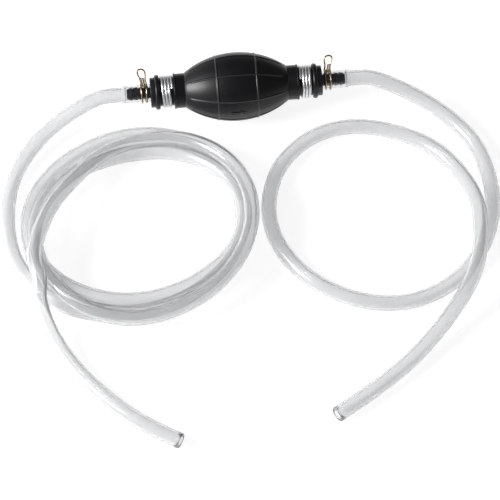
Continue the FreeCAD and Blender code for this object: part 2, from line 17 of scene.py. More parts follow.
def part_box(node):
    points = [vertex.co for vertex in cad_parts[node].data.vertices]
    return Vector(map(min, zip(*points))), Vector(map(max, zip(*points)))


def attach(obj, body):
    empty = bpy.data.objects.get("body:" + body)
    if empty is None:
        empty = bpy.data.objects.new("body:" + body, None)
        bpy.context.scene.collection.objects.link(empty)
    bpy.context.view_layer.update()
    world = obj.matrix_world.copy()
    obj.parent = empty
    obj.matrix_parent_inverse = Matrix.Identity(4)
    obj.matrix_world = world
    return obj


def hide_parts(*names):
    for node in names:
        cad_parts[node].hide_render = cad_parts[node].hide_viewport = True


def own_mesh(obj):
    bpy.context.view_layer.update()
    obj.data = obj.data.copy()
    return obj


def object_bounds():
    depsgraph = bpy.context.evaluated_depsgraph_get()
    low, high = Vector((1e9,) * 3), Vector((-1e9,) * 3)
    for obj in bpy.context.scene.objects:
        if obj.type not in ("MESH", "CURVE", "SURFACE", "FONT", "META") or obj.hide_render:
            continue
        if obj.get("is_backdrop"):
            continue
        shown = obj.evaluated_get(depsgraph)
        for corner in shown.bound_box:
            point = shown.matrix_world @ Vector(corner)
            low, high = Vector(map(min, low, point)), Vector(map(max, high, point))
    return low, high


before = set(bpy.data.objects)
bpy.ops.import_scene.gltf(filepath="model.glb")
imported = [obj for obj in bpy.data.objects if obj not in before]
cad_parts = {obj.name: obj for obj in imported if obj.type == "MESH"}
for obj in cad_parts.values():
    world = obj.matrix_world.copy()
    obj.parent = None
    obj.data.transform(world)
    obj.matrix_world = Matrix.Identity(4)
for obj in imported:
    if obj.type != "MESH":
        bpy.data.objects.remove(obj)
cad_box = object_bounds()
MM = 0.001
print("pieces in the frame:", len(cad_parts))

# %% [markdown]
# ## Camera, floor and light
# The camera looks down on the pump at a steep angle through a long lens, which keeps the two hose
# loops nearly free of perspective. It stands on a line from the point it looks at, so three numbers
# place it: a bearing, an elevation and a distance.

# %% Camera
BEARING = math.radians(-5.3)
ELEVATION = math.radians(56.0)
CAMERA_DISTANCE = 2.0398
FOCAL_LENGTH = 206.42
SENSOR_WIDTH = 36.0
FARTHEST_SEEN = 20.0
LOOK_AT = Vector((-1.56, -127.31, 0.0)) * MM


def direction(bearing, elevation):
    """Unit vector from the pump towards something at that bearing and elevation."""
    level = math.cos(elevation)
    return Vector((math.sin(bearing) * level, -math.cos(bearing) * level, math.sin(elevation)))


camera_data = bpy.data.cameras.new("camera")
camera_data.lens = FOCAL_LENGTH
camera_data.sensor_width = SENSOR_WIDTH
camera_data.clip_end = FARTHEST_SEEN
camera = bpy.data.objects.new("camera", camera_data)
to_camera = direction(BEARING, ELEVATION)
camera.location = LOOK_AT + to_camera * CAMERA_DISTANCE
camera.rotation_euler = (-to_camera).to_track_quat("-Z", "Y").to_euler()
bpy.context.scene.collection.objects.link(camera)
bpy.context.scene.camera = camera
bpy.context.scene.view_settings.view_transform = "Standard"
print("camera at", [round(v, 3) for v in camera.location])

# %% [markdown]
# Clear hose shows only what it bends and reflects, so it needs a bright floor under it and darker
# surroundings beside it: those draw the grey lines along its edges. Black rubber needs the opposite,
# one broad light from the left and little else, so the studio walls are bright on that side only.
# The floor is a mid grey that gives off light of its own, like a light table. Most of its brightness
# doesn't depend on the lamp, so it stays even and the shadows on it stay faint.

# %% Floor, surroundings and light
FLOOR_SIZE = 6.0
FLOOR_GREY = 0.35
FLOOR_GLOW = 0.86
DIM_UP_TO = -0.2
BRIGHTEST_AT = -0.95
WALL_DIM = 0.12
WALL_BRIGHT = 0.9


def make_floor():
    mesh = bpy.data.meshes.new("floor")
    half = FLOOR_SIZE / 2
    corners = [(-half, -half, 0), (half, -half, 0), (half, half, 0), (-half, half, 0)]
    mesh.from_pydata(corners, [], [(0, 1, 2, 3)])
    material = bpy.data.materials.new("pale_floor")
    material.use_nodes = True
    shader = material.node_tree.nodes["Principled BSDF"]
    shader.inputs["Base Color"].default_value = (FLOOR_GREY, FLOOR_GREY, FLOOR_GREY, 1)
    shader.inputs["Roughness"].default_value = 0.9
    shader.inputs["Specular IOR Level"].default_value = 0.0
    shader.inputs["Emission Color"].default_value = (1, 1, 1, 1)
    shader.inputs["Emission Strength"].default_value = FLOOR_GLOW
    mesh.materials.append(material)
    floor = bpy.data.objects.new("floor", mesh)
    bpy.context.scene.collection.objects.link(floor)
    floor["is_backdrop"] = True


def make_softbox(name, bearing, elevation, distance, size, watts):
    """A square area light that faces the middle of the pump."""
    data = bpy.data.lights.new(name, "AREA")
    data.shape = "SQUARE"
    data.size = size
    data.energy = watts
    light = bpy.data.objects.new(name, data)
    away = direction(math.radians(bearing), math.radians(elevation))
    light.location = LOOK_AT + away * distance
    light.rotation_euler = (-away).to_track_quat("-Z", "Y").to_euler()
    bpy.context.scene.collection.objects.link(light)


def make_surroundings():
    """Studio walls, bright to the left and dim everywhere else.

    The X part of a direction runs from -1, due left, to 1. Walls are dim down to DIM_UP_TO and
    brighten from there to BRIGHTEST_AT.
    """
    world = bpy.data.worlds.new("studio")
    world.use_nodes = True
    nodes = world.node_tree.nodes
    link = world.node_tree.links.new
    towards = nodes.new("ShaderNodeTexCoord")
    split = nodes.new("ShaderNodeSeparateXYZ")
    link(towards.outputs["Generated"], split.inputs["Vector"])
    level = nodes.new("ShaderNodeMapRange")
    level.inputs["From Min"].default_value = DIM_UP_TO
    level.inputs["From Max"].default_value = BRIGHTEST_AT
    level.inputs["To Min"].default_value = WALL_DIM
    level.inputs["To Max"].default_value = WALL_BRIGHT
    link(split.outputs["X"], level.inputs["Value"])
    link(level.outputs["Result"], nodes["Background"].inputs["Strength"])
    nodes["Background"].inputs["Color"].default_value = (1.0, 1.0, 1.0, 1.0)
    bpy.context.scene.world = world


make_floor()
make_surroundings()
make_softbox("left_softbox", -84, 31, 1.8, 0.8, 50)
print("light:", bpy.data.lights[0].name)

# %% [markdown]
# ## Places taken from the frame
# Both ends of the pump are alike, so a place is given by its distance from the middle of the bulb,
# in millimetres, and a side: +1 for the outlet and -1 for the inlet.

# %% Places
ENDS = (("inlet", -1), ("outlet", 1))
fitting_low, fitting_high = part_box("outlet_fitting")
AXIS_HEIGHT = (fitting_low.z + fitting_high.z) / 2 / MM
FLANGE_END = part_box("outlet_hose_end")[0].x / MM
HOSE_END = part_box("outlet_hose_end")[1].x / MM
BARB_END = fitting_high.x / MM
print(f"axis {AXIS_HEIGHT:.2f}, flange {FLANGE_END:.2f}, barb tip {BARB_END:.2f}, hose end {HOSE_END:.2f}")


def add_piece(name, mesh, body="pump"):
    """A finished piece: its mesh is already in place, so its object stays at the origin."""
    piece = bpy.data.objects.new(name, mesh)
    bpy.context.scene.collection.objects.link(piece)
    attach(piece, body)
    print(f"{name}: {len(mesh.polygons)} faces")
    return piece


# %% [markdown]
# ## Material helpers
# Every finish starts from one Principled shader. Two small helpers add what a real surface has: a
# roughness that varies from place to place, and fine relief. Their pattern is read in Object
# coordinates unless a piece has something better, so it stays put when a piece moves.

# %% Material helpers


def new_finish(name, color, roughness, metallic=0.0):
    material = bpy.data.materials.new(name)
    material.use_nodes = True
    shader = material.node_tree.nodes["Principled BSDF"]
    shader.inputs["Base Color"].default_value = (*color, 1)
    shader.inputs["Roughness"].default_value = roughness
    shader.inputs["Metallic"].default_value = metallic
    return material


def add_node(material, kind, **inputs):
    """A node of that kind; each keyword sets the input of that name, or links a socket to it."""
    node = material.node_tree.nodes.new(kind)
    for name, value in inputs.items():
        socket = node.inputs[name.replace("_", " ")]
        if isinstance(value, bpy.types.NodeSocket):
            material.node_tree.links.new(value, socket)
        else:
            socket.default_value = value
    return node


def speckle(material, scale, detail=3.0, stretch=(1, 1, 1)):
    """Noise over the surface, in Object coordinates; stretch draws it out along an axis."""
    place = add_node(material, "ShaderNodeTexCoord").outputs["Object"]
    mapping = add_node(material, "ShaderNodeMapping", Vector=place, Scale=stretch)
    noise = add_node(
        material, "ShaderNodeTexNoise", Vector=mapping.outputs["Vector"], Scale=scale, Detail=detail
    )
    return noise.outputs["Fac"]


def vary(material, factor, socket_name, low, high):
    """Let a shader input run from low to high with a factor."""
    shader = material.node_tree.nodes["Principled BSDF"]
    if isinstance(low, tuple):
        mix = material.node_tree.nodes.new("ShaderNodeMix")
        mix.data_type = "RGBA"
        material.node_tree.links.new(factor, mix.inputs["Factor"])
        for socket, color in ((6, low), (7, high)):
            mix.inputs[socket].default_value = (*color, 1)
        material.node_tree.links.new(mix.outputs[2], shader.inputs[socket_name])
        return
    spread = add_node(material, "ShaderNodeMapRange", Value=factor, To_Min=low, To_Max=high)
    material.node_tree.links.new(spread.outputs["Result"], shader.inputs[socket_name])


def relief(material, height, depth_mm):
    """Fine relief from a height pattern, depth_mm from its lowest to its highest."""
    shader = material.node_tree.nodes["Principled BSDF"]
    bump = add_node(
        material, "ShaderNodeBump", Height=height, Strength=1.0, Distance=depth_mm * MM
    )
    material.node_tree.links.new(bump.outputs["Normal"], shader.inputs["Normal"])


# %% [markdown]
# ## The clear vinyl
# The hose is clear soft vinyl, slightly hazy. Most of the light passes through, and the rest, about
# an eighth, is scattered, which is the haze. The material of the wall also absorbs some light. That
# makes a hose greyer at its edges, where a line of sight runs a long way inside the wall, and it
# can't be had from the surface colour alone. The stretch over the barb is stretched thinner and is
# clearer, so it has no haze. Faint lines from the extruder's die run along the hose, so the pattern
# reads the hose's own UV map, which holds the distance along it and the distance round it.

# %% Clear vinyl
VINYL_IOR = 1.48
ABSORBED_TINT = (0.5, 0.505, 0.515, 1)
ABSORPTION = 80.0
DIE_LINES = (12, 700, 1)
DIE_LINE_DEPTH = 0.006


def make_vinyl(name, clearness):
    """Clear vinyl; clearness is the share of light that passes through unscattered."""
    vinyl = new_finish(name, (0.975, 0.98, 0.985), 0.12)
    shader = vinyl.node_tree.nodes["Principled BSDF"]
    shader.inputs["Transmission Weight"].default_value = clearness
    shader.inputs["IOR"].default_value = VINYL_IOR
    tint = add_node(vinyl, "ShaderNodeVolumeAbsorption", Color=ABSORBED_TINT, Density=ABSORPTION)
    output = vinyl.node_tree.nodes["Material Output"]
    vinyl.node_tree.links.new(tint.outputs["Volume"], output.inputs["Volume"])
    along_and_round = add_node(vinyl, "ShaderNodeUVMap").outputs["UV"]
    drawn = add_node(vinyl, "ShaderNodeMapping", Vector=along_and_round, Scale=DIE_LINES)
    lines = add_node(
        vinyl, "ShaderNodeTexNoise", Vector=drawn.outputs["Vector"], Scale=1.0, Detail=2.0
    ).outputs["Fac"]
    vary(vinyl, lines, "Roughness", 0.1, 0.2)
    relief(vinyl, lines, DIE_LINE_DEPTH)
    return vinyl


clear_vinyl = make_vinyl("clear_vinyl", 0.88)
stretched_vinyl = make_vinyl("stretched_vinyl", 1.0)
print("finish:", clear_vinyl.name)

# %% [markdown]
# ## Hose routes
# A hose is stiff enough to lie in wide curves, so a short list of corners holds its whole route. Each
# route leaves the flange straight along the pump's axis, comes down to the floor and lies on it, a
# hose radius above the floor. Where it crosses itself it rises over the lower stretch in a long low
# hump. The corners began as those of the frame's own routes. Beyond the straight ends they were then
# moved a few millimetres by a least-squares script that isn't part of this lesson, and the tail's
# first corners and the coil's radii below come from the same kind of script. They were not picked by
# hand, which is the better way to learn to lay a hose.

# %% Routes of the hoses
HOSE_RADIUS = 5.5
HOSE_BORE_RADIUS = 4.0
STRAIGHT_END = 103.0
OUTLET_ROUTE = [
    (FLANGE_END, 0, AXIS_HEIGHT),
    (HOSE_END, 0, AXIS_HEIGHT),
    (STRAIGHT_END, 0, 25),
    (148.8, -21.9, 9),
    (176.1, -61.3, 5.5),
    (175.9, -124.1, 5.5),
    (141.8, -174.2, 5.5),
    (90.2, -189.8, 5.5),
    (36.7, -164.1, 5.5),
    (9.6, -111.2, 5.5),
    (25.5, -52.1, 5.5),
    (74.7, -23.5, 5.5),
    (135.7, -45.1, 5.5),
    (163.8, -94.3, 9),
    (162.4, -141, 19.5),
    (151.1, -179.6, 19.5),
    (121.7, -214.3, 9),
    (84.3, -247.4, 5.5),
    (44.8, -271.6, 5.5),
]
INLET_LEAD = [
    (-FLANGE_END, 0, AXIS_HEIGHT),
    (-HOSE_END, 0, AXIS_HEIGHT),
    (-STRAIGHT_END, 0, 25),
    (-143.6, -17.1, 9),
    (-168.7, -54.1, 5.5),
    (-174, -103.2, 5.5),
    (-162.8, -140.7, 5.5),
    (-140.4, -164.2, 5.5),
]
INLET_TAIL = [
    (-139.6, -91.5, 26),
    (-151.7, -123.2, 29.5),
    (-155, -140.5, 29.5),
    (-150.6, -155.1, 27.5),
    (-153.5, -172, 20),
    (-140.4, -205.1, 7),
    (-116.3, -239.2, 5.5),
    (-87.6, -267.8, 5.5),
    (-63, -282.5, 5.5),
]
print("corners:", len(OUTLET_ROUTE), len(INLET_LEAD), len(INLET_TAIL))

# %% [markdown]
# ## The coil
# The spare length of the inlet hose lies in three loose turns. Nothing ties them, so they differ:
# the first turn is wide, the second lies inside it, and the third wanders over both. A radius every
# sixth of a turn describes them, with a smooth curve between. A loop then walks round the coil and
# asks two questions at each point: how high must the hose lie to rest on the turns below, and how
# gently can it get there.

# %% Turns of the coil
COIL_CENTRE = Vector((-76.0, -102.0, 0))
COIL_START = 240
COIL_STOP = 1215
RADIUS_EVERY = 60
COIL_RADII = [83.4, 70.6, 72.6, 81.8, 80.2, 83.9, 75.3, 68.9, 74.6, 65.3]
COIL_RADII += [63, 77.9, 88.8, 82.5, 79, 72.7, 60.3, 53.3, 46.3]
POINTS_PER_TURN = 15
RESTING_GAP = 11.2
CLIMB_PER_POINT = 3.2
SETTLING_ROUNDS = 6


def eased(share):
    """0 to 1 with a gentle start and end."""
    share = min(max(share, 0), 1)
    return share * share * (3 - 2 * share)


def cos_deg(angle):
    return math.cos(math.radians(angle))


def coil_radius(angle):
    """Distance from the coil's centre at a running angle that counts on from turn to turn."""
    steps = (angle - COIL_START) / RADIUS_EVERY
    i = min(int(steps), len(COIL_RADII) - 3)
    share = steps - i
    before = COIL_RADII[i - 1] if i else 2 * COIL_RADII[0] - COIL_RADII[1]
    here, after, later = COIL_RADII[i : i + 3]
    bend = 2 * before - 5 * here + 4 * after - later
    twist = 3 * here - before - 3 * after + later
    return here + 0.5 * share * (after - before + share * (bend + share * twist))


def coil_points():
    """Control points of the three turns, each resting on the turns below it."""
    count = round((COIL_STOP - COIL_START) / 360 * POINTS_PER_TURN)
    angles = [COIL_START + (COIL_STOP - COIL_START) * i / count for i in range(count + 1)]
    radii = [coil_radius(angle) for angle in angles]
    heights = [HOSE_RADIUS] * len(angles)
    for settling in range(SETTLING_ROUNDS):
        needed = list(heights)
        for i, radius in enumerate(radii):
            for below in (i - POINTS_PER_TURN, i - 2 * POINTS_PER_TURN):
                apart = abs(radius - radii[below])
                if below >= 0 and apart < RESTING_GAP:
                    rest = heights[below] + math.sqrt(RESTING_GAP**2 - apart**2)
                    needed[i] = max(needed[i], rest)
        heights = [
            max(needed[j] - CLIMB_PER_POINT * abs(i - j) for j in range(len(angles)))
            for i in range(len(angles))
        ]
    return [
        (
            COIL_CENTRE.x + radius * cos_deg(angle),
            COIL_CENTRE.y + radius * cos_deg(angle - 90),
            height,
        )
        for angle, radius, height in zip(angles, radii, heights)
    ]


coil = coil_points()
INLET_ROUTE = INLET_LEAD + coil + INLET_TAIL
print("coil points:", len(coil), "highest", round(max(point[2] for point in coil), 1))

# %% [markdown]
# ## From corners to a smooth line
# A NURBS curve of order 3 takes the corners as its control points and runs smoothly inside them. It
# is read back as a plain list of closely spaced points, and the hose's wall is then built round that
# list. Reading it back, not bevelling the curve, lets the hose be hollow and swell over the barb.

# %% Read a smooth line
FINE_STEPS = 64


def smooth_line(name, corners):
    """Closely spaced points of the smooth curve that a route's corners steer, in metres."""
    curve = bpy.data.curves.new(name, "CURVE")
    curve.dimensions = "3D"
    curve.resolution_u = FINE_STEPS
    spline = curve.splines.new("NURBS")
    spline.points.add(len(corners) - 1)
    for point, corner in zip(spline.points, corners):
        point.co = (*[value * MM for value in corner], 1)
    spline.order_u = 3
    spline.use_endpoint_u = True
    holder = bpy.data.objects.new(name, curve)
    bpy.context.scene.collection.objects.link(holder)
    bpy.context.view_layer.update()
    mesh = bpy.data.meshes.new_from_object(holder)
    line = [vertex.co.copy() for vertex in mesh.vertices]
    bpy.data.objects.remove(holder)
    bpy.data.meshes.remove(mesh)
    return line


BARB_STEP = 0.45
FREE_STEP = 2.4


def thinned(line):
    """Keep points close together over the barb and further apart on the free hose."""
    kept = [line[0]]
    kept_at = 0.0
    at = 0.0
    for before, point in zip(line, line[1:]):
        at += (point - before).length / MM
        step = BARB_STEP if at < HOSE_END - FLANGE_END + BARB_STEP else FREE_STEP
        if at - kept_at >= step:
            kept.append(point)
            kept_at = at
    kept[-1] = line[-1]
    return kept


outlet_line = thinned(smooth_line("outlet_hose_line", OUTLET_ROUTE))
inlet_line = thinned(smooth_line("inlet_hose_line", INLET_ROUTE))
print("points:", len(outlet_line), len(inlet_line))

# %% [markdown]
# ## The hose wall
# Pushed over the barb, the hose swells to the crests of the teeth and sags a little between them,
# then tapers back to its own size. So both radii are functions of the distance from the flange. The
# wall is one closed skin: outside, cut end, bore, and the end against the flange. The rings of points
# are carried along the line without twisting, each frame turned from the one before.

# %% Build the hoses
BARB_CREST_RADIUS = 4.9
SWELL = BARB_CREST_RADIUS - HOSE_BORE_RADIUS
FIRST_TOOTH = 1.6
TOOTH_PITCH = 3.9
TOOTH_SAG = 0.28
TAPER_LENGTH = 3.5
TAPER_START = HOSE_END - FLANGE_END - TAPER_LENGTH
HOSE_SIDES = 32
CUT_EDGE = 0.25


def swelling(at):
    """How much wider than its own size the hose is, at a distance from the flange."""
    if at > TAPER_START:
        return SWELL * (1 - eased((at - TAPER_START) / (HOSE_END - FLANGE_END - TAPER_START)))
    between_teeth = (at - FIRST_TOOTH) / TOOTH_PITCH % 1
    return SWELL - TOOTH_SAG * math.sin(math.pi * between_teeth) ** 2


def rings_along(line):
    """(point, side, up, distance) at every point of the line, carried along without twist."""
    frames = []
    side = Vector((0, 1, 0))
    at = 0.0
    for i, point in enumerate(line):
        ahead = (line[min(i + 1, len(line) - 1)] - line[max(i - 1, 0)]).normalized()
        side = (side - ahead * side.dot(ahead)).normalized()
        if i > 0:
            at += (point - line[i - 1]).length / MM
        frames.append((point, side, ahead.cross(side), at))
    return frames


def ring_faces(rows, columns):
    """Faces of a closed skin whose vertices lie in rows, each row a ring of that many columns."""
    faces = []
    for row in range(rows):
        here = row * columns
        there = (row + 1) % rows * columns
        for k in range(columns):
            k_next = (k + 1) % columns
            faces.append((here + k, here + k_next, there + k_next, there + k))
    return faces


def hose_loops(line, frames):
    """(centre, side, up, distance, radius) of each loop: outside, cut end, then back in the bore."""
    loops = [(*ring, HOSE_BORE_RADIUS + CUT_EDGE + swelling(ring[3])) for ring in frames[:1]]
    loops += [(*ring, HOSE_RADIUS + swelling(ring[3])) for ring in frames[:-1]]
    point, side, up, at = frames[-1]
    back = (line[-2] - line[-1]).normalized() * CUT_EDGE * MM
    loops.append((point + back, side, up, at, HOSE_RADIUS))
    loops.append((point, side, up, at, HOSE_RADIUS - CUT_EDGE))
    loops.append((point, side, up, at, HOSE_BORE_RADIUS + CUT_EDGE))
    loops.append((point + back, side, up, at, HOSE_BORE_RADIUS))
    loops += [(*ring, HOSE_BORE_RADIUS + swelling(ring[3])) for ring in reversed(frames[:-1])]
    return loops


def map_hose(mesh, loops):
    """UV map of the hose in metres: distance along it, and distance round it."""
    uv = mesh.uv_layers.new(name="UVMap")
    for polygon in mesh.polygons:
        seam = max(v % HOSE_SIDES for v in polygon.vertices) == HOSE_SIDES - 1
        for corner, loop_index in enumerate(polygon.loop_indices):
            row, k = divmod(polygon.vertices[corner], HOSE_SIDES)
            round_share = 1.0 if k == 0 and seam else k / HOSE_SIDES
            round_distance = round_share * 2 * math.pi * HOSE_RADIUS * MM
            uv.data[loop_index].uv = (loops[row][3] * MM, round_distance)


def hose_mesh(name, line):
    """The hose's closed skin and its length in millimetres."""
    frames = rings_along(line)
    loops = hose_loops(line, frames)
    vertices = []
    for centre, side, up, at, radius in loops:
        for k in range(HOSE_SIDES):
            turn = 2 * math.pi * k / HOSE_SIDES
            vertices.append(centre + (side * math.cos(turn) + up * math.sin(turn)) * radius * MM)
    mesh = bpy.data.meshes.new(name)
    mesh.from_pydata(vertices, [], ring_faces(len(loops), HOSE_SIDES))
    map_hose(mesh, loops)
    outward_faces(mesh)
    mesh.materials.append(clear_vinyl)
    mesh.materials.append(stretched_vinyl)
    for polygon in mesh.polygons:
        polygon.material_index = int(loops[polygon.vertices[0] // HOSE_SIDES][3] < TAPER_START)
    return mesh, frames[-1][3]


def outward_faces(mesh):
    """Turn every face of a closed skin outwards and shade it smooth."""
    work = bmesh.new()
    work.from_mesh(mesh)
    bmesh.ops.recalc_face_normals(work, faces=work.faces)
    work.to_mesh(mesh)
    work.free()
    mesh.shade_smooth()


def make_hose(name, line, side, lay, *nodes):
    """A finished hose in place of its frame pieces."""
    mesh, length = hose_mesh(name, line)
    hose = add_piece(name, mesh)
    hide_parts(*nodes)
    print(f"{name}: {length:.0f} mm of hose")


make_hose("outlet_hose_tube", outlet_line, 1, "loose", "outlet_hose_end", "outlet_hose")
make_hose(
    "inlet_hose_tube",
    inlet_line,
    -1,
    "coiled",
    "inlet_hose_end",
    "inlet_hose_lead",
    "inlet_hose_coil",
    "inlet_hose_tail",
)

# %% [markdown]
# ## Turned pieces
# The bulb and the two fittings are round about the pump's axis, so each is an outline turned round
# it. The outline's corners are rounded first, because a moulded edge is never sharp and it is the
# rounding that catches the light. Straight stretches and arcs are all the outline needs.

# %% Turn an outline


def rounded_outline(corners, radius, arc_steps=3):
    """A closed outline with each corner replaced by a small arc of about that radius."""
    outline = []
    count = len(corners)
    for i, corner in enumerate(corners):
        here = Vector(corner)
        back = Vector(corners[i - 1]) - here
        ahead = Vector(corners[(i + 1) % count]) - here
        reach = min(radius, back.length * 0.4, ahead.length * 0.4)
        start = here + back.normalized() * reach
        end = here + ahead.normalized() * reach
        for step in range(arc_steps + 1):
            share = step / arc_steps
            outline.append(
                start * (1 - share) ** 2 + here * 2 * share * (1 - share) + end * share**2
            )
    return outline


def turned_mesh(name, outline, angles, place, rise=None):
    """Turn a closed outline of (distance along, radius), in mm, round the pump's axis.

    rise(along, radius, angle) adds to the radius. Angles start at the front (-Y) and go up.
    """
    vertices = []
    for along, radius in outline:
        for angle in angles:
            reach = radius + (rise(along, radius, angle) if rise else 0)
            vertices.append(place(along, reach, angle))
    mesh = bpy.data.meshes.new(name)
    mesh.from_pydata(vertices, [], ring_faces(len(outline), len(angles)))
    outward_faces(mesh)
    return mesh


def on_axis(side):
    """Place for a turned piece: distance along, radius and angle become a point in metres."""

    def place(along, radius, angle):
        return Vector(
            (
                side * along,
                -radius * math.cos(angle),
                AXIS_HEIGHT + radius * math.sin(angle),
            )
        ) * MM

    return place


square = rounded_outline([(0, 0), (1, 0), (1, 1), (0, 1)], 0.1)
print("points in a rounded square:", len(square))

# %% [markdown]
# ## The rubber bulb
# The bulb is one hollow moulding. Its belly is an arc of a large circle, and each end steps down to a
# collar, a seat for the wire clamp and a bead. Two rings and eight lengthwise ribs stiffen it, and a
# small arrow shows the flow. Ribs and arrow are raised from the same skin, by adding to the radius,
# so they blend into the belly as moulded rubber does. The skin needs points only where something
# rises, so its rows and columns crowd together at the ribs and the arrow.

# %% Shape of the bulb
BELLY_RADIUS = AXIS_HEIGHT
BELLY_HALF = 37.5
COLLAR_RADIUS = 12.6
BULB_WALL = 3.0
BELLY_DROP = BELLY_RADIUS - COLLAR_RADIUS
BELLY_ARC = (BELLY_HALF**2 + BELLY_DROP**2) / (2 * BELLY_DROP)
RING_PLACE = 14.4
RIB_HEIGHT = 0.55
RIB_HALF_WIDTH = 0.85
RIB_COUNT = 8
RIB_PHASE = math.radians(26.0)
RIB_REACH = 35.0
RIB_FADE = 3.0
ARROW_ANGLE = math.radians(3.5)
ARROW_TIP = 6.2
ARROW_NECK = 1.2
ARROW_HEAD = 2.5
ARROW_SHAFT = 0.9
ARROW_SLANT = 0.9
ARROW_HEIGHT = 0.5
ARROW_EDGE = 0.45
CLAMP_SEAT_START = 45.5
CLAMP_SEAT_RADIUS = 10.3
BEAD_END = 59.3
SPIGOT_RADIUS = 8.0
NECK_ROUNDING = 0.35
BULB_NECK = [
    (44.4, COLLAR_RADIUS),
    (44.4, 13.0),
    (CLAMP_SEAT_START, 13.0),
    (CLAMP_SEAT_START, CLAMP_SEAT_RADIUS),
    (55.9, CLAMP_SEAT_RADIUS),
    (55.9, 12.25),
    (56.8, 12.7),
    (58.4, 12.7),
    (BEAD_END, 11.8),
    (BEAD_END, SPIGOT_RADIUS),
    (40.1, SPIGOT_RADIUS),
]


def belly(along, wall=0.0):
    """Radius of the belly at a distance from the middle, or of its inside."""
    return math.sqrt((BELLY_ARC - wall) ** 2 - along**2) - (BELLY_ARC - BELLY_RADIUS)


def ridge(distance):
    """0 to 1 across a rounded rib."""
    if abs(distance) >= RIB_HALF_WIDTH:
        return 0.0
    return 0.5 + 0.5 * math.cos(math.pi * distance / RIB_HALF_WIDTH)


def arrow_rise(along, around):
    """0 to 1 over the flow arrow. ARROW_SLANT makes the head's slanting edges as soft as the rest."""
    head_width = ARROW_HEAD * (ARROW_TIP - along) / (ARROW_TIP - ARROW_NECK)
    head = min((head_width - abs(around)) * ARROW_SLANT, along - ARROW_NECK)
    shaft = min(ARROW_SHAFT - abs(around), along + ARROW_TIP, ARROW_TIP / 2 - along)
    return eased(max(head, shaft) / ARROW_EDGE)


def rib_share(along, radius, angle):
    """How far up a rib this point of the belly is, 0 to 1."""
    if abs(along) > BELLY_HALF or radius < COLLAR_RADIUS:
        return 0.0
    spacing = 2 * math.pi / RIB_COUNT
    off = (angle - RIB_PHASE + spacing / 2) % spacing - spacing / 2
    lengthwise = ridge(off * radius) * (1 - eased((abs(along) - RIB_REACH + RIB_FADE) / RIB_FADE))
    return max(ridge(abs(along) - RING_PLACE), lengthwise)


def bulb_rise(along, radius, angle):
    """How far the ribs and the arrow stand out of the belly; nothing rises on necks or inside."""
    if abs(along) > BELLY_HALF or radius < COLLAR_RADIUS or radius < belly(along) - BULB_WALL / 2:
        return 0.0
    around = ((angle - ARROW_ANGLE + math.pi) % (2 * math.pi) - math.pi) * radius
    return max(RIB_HEIGHT * rib_share(along, radius, angle), ARROW_HEIGHT * arrow_rise(along, around))


def crowded(start, stop, step, centres, offsets):
    """Even steps from start to stop, with extra places at the offsets each side of the centres."""
    count = round((stop - start) / step)
    places = [start + (stop - start) * i / count for i in range(count + 1)]
    reach = max(offsets)
    places = [p for p in places if all(abs(p - centre) > reach for centre in centres)]
    for centre in centres:
        for offset in offsets:
            places += [centre - offset, centre + offset]
    return sorted({round(p, 5) for p in places})


ROW_STEP = 1.5
COLUMN_STEP = 0.035
ACROSS_RING = (0.0, 0.2, 0.4, 0.6, 0.85, 1.2)
ACROSS_RIB = (0.0, 0.008, 0.016, 0.024, 0.034, 0.048, 0.066)
ARROW_ROWS_FROM = -6.8
ARROW_ROW_STEP = 0.4
ARROW_ROWS = 35
ARROW_COLUMN_STEP = 0.014
ARROW_COLUMNS_EACH_SIDE = 9

rows = crowded(-BELLY_HALF, BELLY_HALF, ROW_STEP, (-RING_PLACE, RING_PLACE), ACROSS_RING)
arrow_rows = {round(ARROW_ROWS_FROM + ARROW_ROW_STEP * i, 5) for i in range(ARROW_ROWS)}
rows = sorted(set(rows) | arrow_rows)
rib_angles = [RIB_PHASE + 2 * math.pi * i / RIB_COUNT for i in range(RIB_COUNT)]
first_angle = RIB_PHASE - math.pi / RIB_COUNT
columns = crowded(first_angle, first_angle + 2 * math.pi, COLUMN_STEP, rib_angles, ACROSS_RIB)[:-1]
arrow_columns = {
    round(ARROW_ANGLE + ARROW_COLUMN_STEP * i, 5)
    for i in range(-ARROW_COLUMNS_EACH_SIDE, ARROW_COLUMNS_EACH_SIDE + 1)
}
columns = sorted(set(columns) | arrow_columns)
print("bulb rows and columns:", len(rows), len(columns))

# %% [markdown]
# Black moulded rubber is never pure black or mirror smooth. The finish varies slowly between two
# degrees of polish, as handled rubber does, and has a fine matt grain. The tops of the ribs are
# painted paler, partly as rubbed wear and partly as a painted highlight along each rib, and the
# bulb's mesh carries that as an attribute, written while it is shaped.

# %% Make the bulb


def make_bulb_rubber():
    rubber = new_finish("bulb_rubber", (0.004, 0.004, 0.005), 0.38)
    rubber.node_tree.nodes["Principled BSDF"].inputs["Specular IOR Level"].default_value = 0.4
    rib_wear_and_sheen = add_node(rubber, "ShaderNodeAttribute")
    rib_wear_and_sheen.attribute_name = "rib_wear_and_sheen"
    # Rib tops painted paler: partly rubbed wear, partly a painted highlight along the ribs.
    vary(rubber, rib_wear_and_sheen.outputs["Fac"], "Base Color", (0.004, 0.004, 0.005), (0.032, 0.032, 0.035))
    vary(rubber, speckle(rubber, 35, 4), "Roughness", 0.3, 0.44)
    relief(rubber, speckle(rubber, 1600, 2), 0.02)
    return rubber


